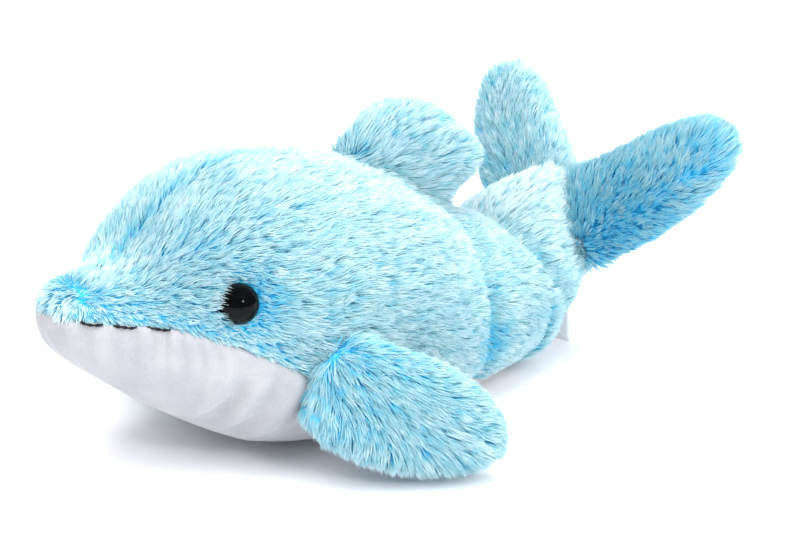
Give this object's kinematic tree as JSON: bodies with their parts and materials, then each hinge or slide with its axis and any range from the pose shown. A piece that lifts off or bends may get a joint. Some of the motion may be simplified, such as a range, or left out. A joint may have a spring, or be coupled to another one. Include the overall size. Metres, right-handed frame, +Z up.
{
  "type": "plush dolphin",
  "caption": "Soft toy dolphin lying on its belly, long-pile blue plush above and smooth white nap below, with stuffed flippers, back fin, bending tail and flukes.",
  "frame": {"origin": "on the floor, under the middle of the toy's length and width", "axes": "+Y from nose to tail, +Z up, +X to the dolphin's left side"},
  "size_m": [0.1964, 0.2858, 0.1214],
  "materials": {
    "blue_plush": "long-pile polyester plush, deep blue roots and pale tips",
    "white_nap": "short-nap white velour",
    "fibre_fill": "polyester fibre filling",
    "eye_gloss": "polished black plastic",
    "lock_washer": "natural white plastic",
    "mouth_thread": "black twisted thread",
    "label_ribbon": "white satin ribbon, blank"
  },
  "bodies": {
    "body": {"left_side_cover": "blue_plush", "right_side_cover": "blue_plush", "belly_cover": "white_nap", "body_stuffing": "fibre_fill", "left_eye": "eye_gloss", "right_eye": "eye_gloss", "left_eye_washer": "lock_washer", "right_eye_washer": "lock_washer", "mouth_thread": "mouth_thread"},
    "tail": {"tail_left_cover": "blue_plush", "tail_right_cover": "blue_plush", "tail_stuffing": "fibre_fill", "sewn_label": "label_ribbon"},
    "left_fluke": {"left_fluke_top_cover": "blue_plush", "left_fluke_bottom_cover": "blue_plush", "left_fluke_stuffing": "fibre_fill"},
    "right_fluke": {"right_fluke_top_cover": "blue_plush", "right_fluke_bottom_cover": "blue_plush", "right_fluke_stuffing": "fibre_fill"},
    "dorsal_fin": {"dorsal_fin_left_cover": "blue_plush", "dorsal_fin_right_cover": "blue_plush", "dorsal_fin_stuffing": "fibre_fill"},
    "left_flipper": {"left_flipper_top_cover": "blue_plush", "left_flipper_bottom_cover": "blue_plush", "left_flipper_stuffing": "fibre_fill"},
    "right_flipper": {"right_flipper_top_cover": "blue_plush", "right_flipper_bottom_cover": "blue_plush", "right_flipper_stuffing": "fibre_fill"}
  },
  "joints": [
    {"name": "tail_bend", "type": "hinge", "parent": "body", "child": "tail", "pos_m": [0, 0.05955, 0.032], "axis": [1, 0, 0], "range_deg": [0, 20], "stiffness_Nm_per_rad": 0.6},
    {"name": "left_fluke_flap", "type": "hinge", "parent": "tail", "child": "left_fluke", "pos_m": [0.0205, 0.11255, 0.059], "axis": [0.5959, -0.4191, -0.685], "range_deg": [-25, 25], "stiffness_Nm_per_rad": 0.3},
    {"name": "right_fluke_flap", "type": "hinge", "parent": "tail", "child": "right_fluke", "pos_m": [-0.0205, 0.11255, 0.059], "axis": [0.5959, 0.4191, 0.685], "range_deg": [-25, 25], "stiffness_Nm_per_rad": 0.3},
    {"name": "dorsal_fin_flop", "type": "hinge", "parent": "body", "child": "dorsal_fin", "pos_m": [0, 0.0152, 0.09652], "axis": [0, 0.8087, -0.5882], "range_deg": [-20, 20], "stiffness_Nm_per_rad": 0.3},
    {"name": "left_flipper_flap", "type": "hinge", "parent": "body", "child": "left_flipper", "pos_m": [0.05807, -0.06346, 0.04123], "axis": [-0.1849, -0.3938, -0.9004], "range_deg": [0, 45], "stiffness_Nm_per_rad": 0.3},
    {"name": "right_flipper_flap", "type": "hinge", "parent": "body", "child": "right_flipper", "pos_m": [-0.05807, -0.06346, 0.04123], "axis": [-0.1849, 0.3938, 0.9004], "range_deg": [0, 45], "stiffness_Nm_per_rad": 0.3}
  ]
}
